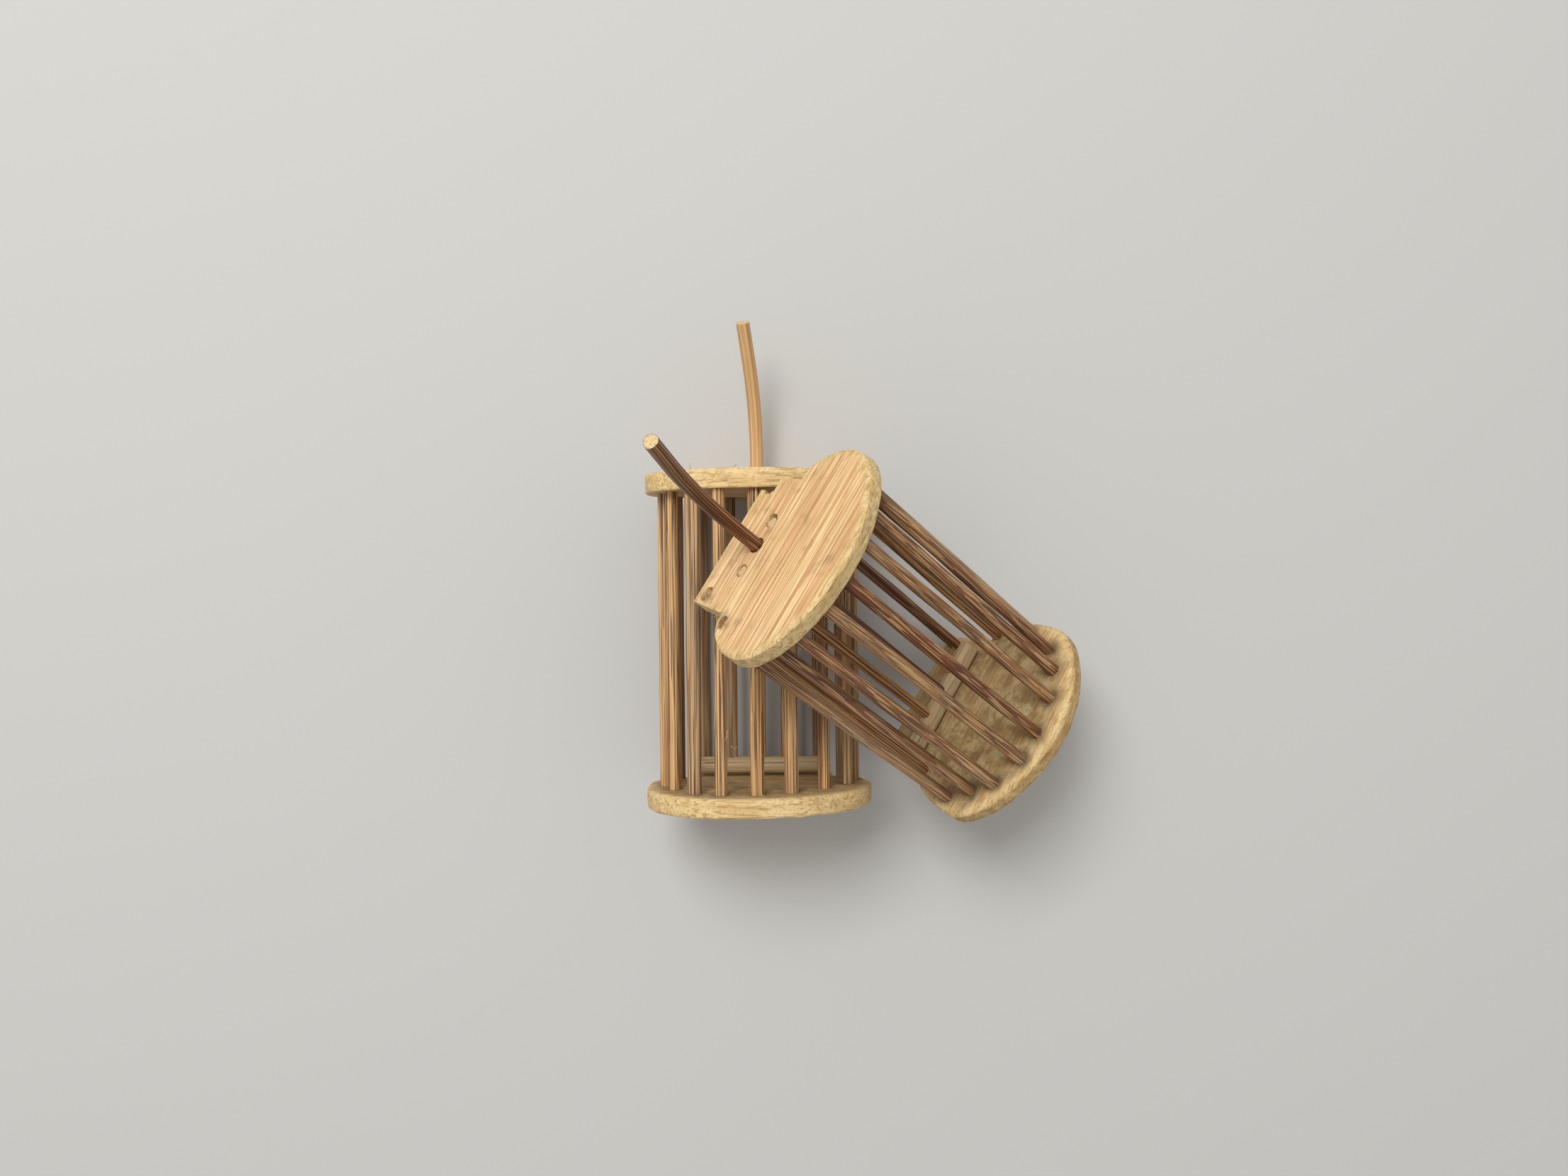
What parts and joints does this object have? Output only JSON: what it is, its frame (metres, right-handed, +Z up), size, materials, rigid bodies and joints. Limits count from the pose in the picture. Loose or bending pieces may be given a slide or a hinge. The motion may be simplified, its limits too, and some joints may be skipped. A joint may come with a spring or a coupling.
{
  "type": "bamboo cricket cage",
  "caption": "Two hand-made D-shaped half cages of bamboo bars between whittled plates, each with a sliding gate of bars, one lying and one leaning on it.",
  "frame": {"origin": "middle of the bounding box's bottom face, on the table", "axes": "+Z up from the table, +Y along the lying half's bars from its bottom plate to its top plate, +X to the right of them, towards the leaning half"},
  "size_m": [0.0796, 0.0938, 0.071],
  "materials": {
    "plate_bamboo": "pale whittled bamboo wood, matt",
    "bar_bamboo": "split bamboo splints, matt, brown grooves",
    "rail_bamboo": "planed bamboo, matt, dusty",
    "lying_handle_bamboo": "bare tan bamboo, satin",
    "leaning_handle_bamboo": "dark red-brown bamboo skin, slight gloss"
  },
  "bodies": {
    "lying_half": {"lying_bottom_plate": "plate_bamboo", "lying_top_plate": "plate_bamboo", "lying_curved_bar_1": "bar_bamboo", "lying_curved_bar_2": "bar_bamboo", "lying_curved_bar_3": "bar_bamboo", "lying_curved_bar_4": "bar_bamboo", "lying_curved_bar_5": "bar_bamboo", "lying_curved_bar_6": "bar_bamboo", "lying_curved_bar_7": "bar_bamboo", "lying_curved_bar_8": "bar_bamboo", "lying_curved_bar_9": "bar_bamboo", "lying_flat_bar_1": "bar_bamboo", "lying_flat_bar_2": "bar_bamboo", "lying_tab_bar_1": "bar_bamboo", "lying_tab_bar_2": "bar_bamboo"},
    "lying_gate": {"lying_gate_rail": "rail_bamboo", "lying_gate_bar_1": "bar_bamboo", "lying_gate_bar_2": "bar_bamboo", "lying_gate_handle": "lying_handle_bamboo"},
    "leaning_half": {"leaning_bottom_plate": "plate_bamboo", "leaning_top_plate": "plate_bamboo", "leaning_curved_bar_1": "bar_bamboo", "leaning_curved_bar_2": "bar_bamboo", "leaning_curved_bar_3": "bar_bamboo", "leaning_curved_bar_4": "bar_bamboo", "leaning_curved_bar_5": "bar_bamboo", "leaning_curved_bar_6": "bar_bamboo", "leaning_curved_bar_7": "bar_bamboo", "leaning_curved_bar_8": "bar_bamboo", "leaning_curved_bar_9": "bar_bamboo", "leaning_flat_bar_1": "bar_bamboo", "leaning_flat_bar_2": "bar_bamboo", "leaning_tab_bar_stub": "bar_bamboo", "leaning_tab_bar_2": "bar_bamboo"},
    "leaning_gate": {"leaning_gate_rail": "rail_bamboo", "leaning_gate_bar_1": "bar_bamboo", "leaning_gate_bar_2": "bar_bamboo", "leaning_gate_handle": "leaning_handle_bamboo"}
  },
  "joints": [
    {"name": "lying_gate_slide", "type": "slide", "parent": "lying_half", "child": "lying_gate", "axis": [0, 1, 0], "range_m": [0, 0.0503]},
    {"name": "leaning_half_lift", "type": "slide", "parent": "lying_half", "child": "leaning_half", "axis": [0, 0, 1], "range_m": [0, 0.06]},
    {"name": "leaning_gate_slide", "type": "slide", "parent": "leaning_half", "child": "leaning_gate", "axis": [-0.6542, 0.526, 0.5434], "range_m": [0, 0.048]}
  ]
}
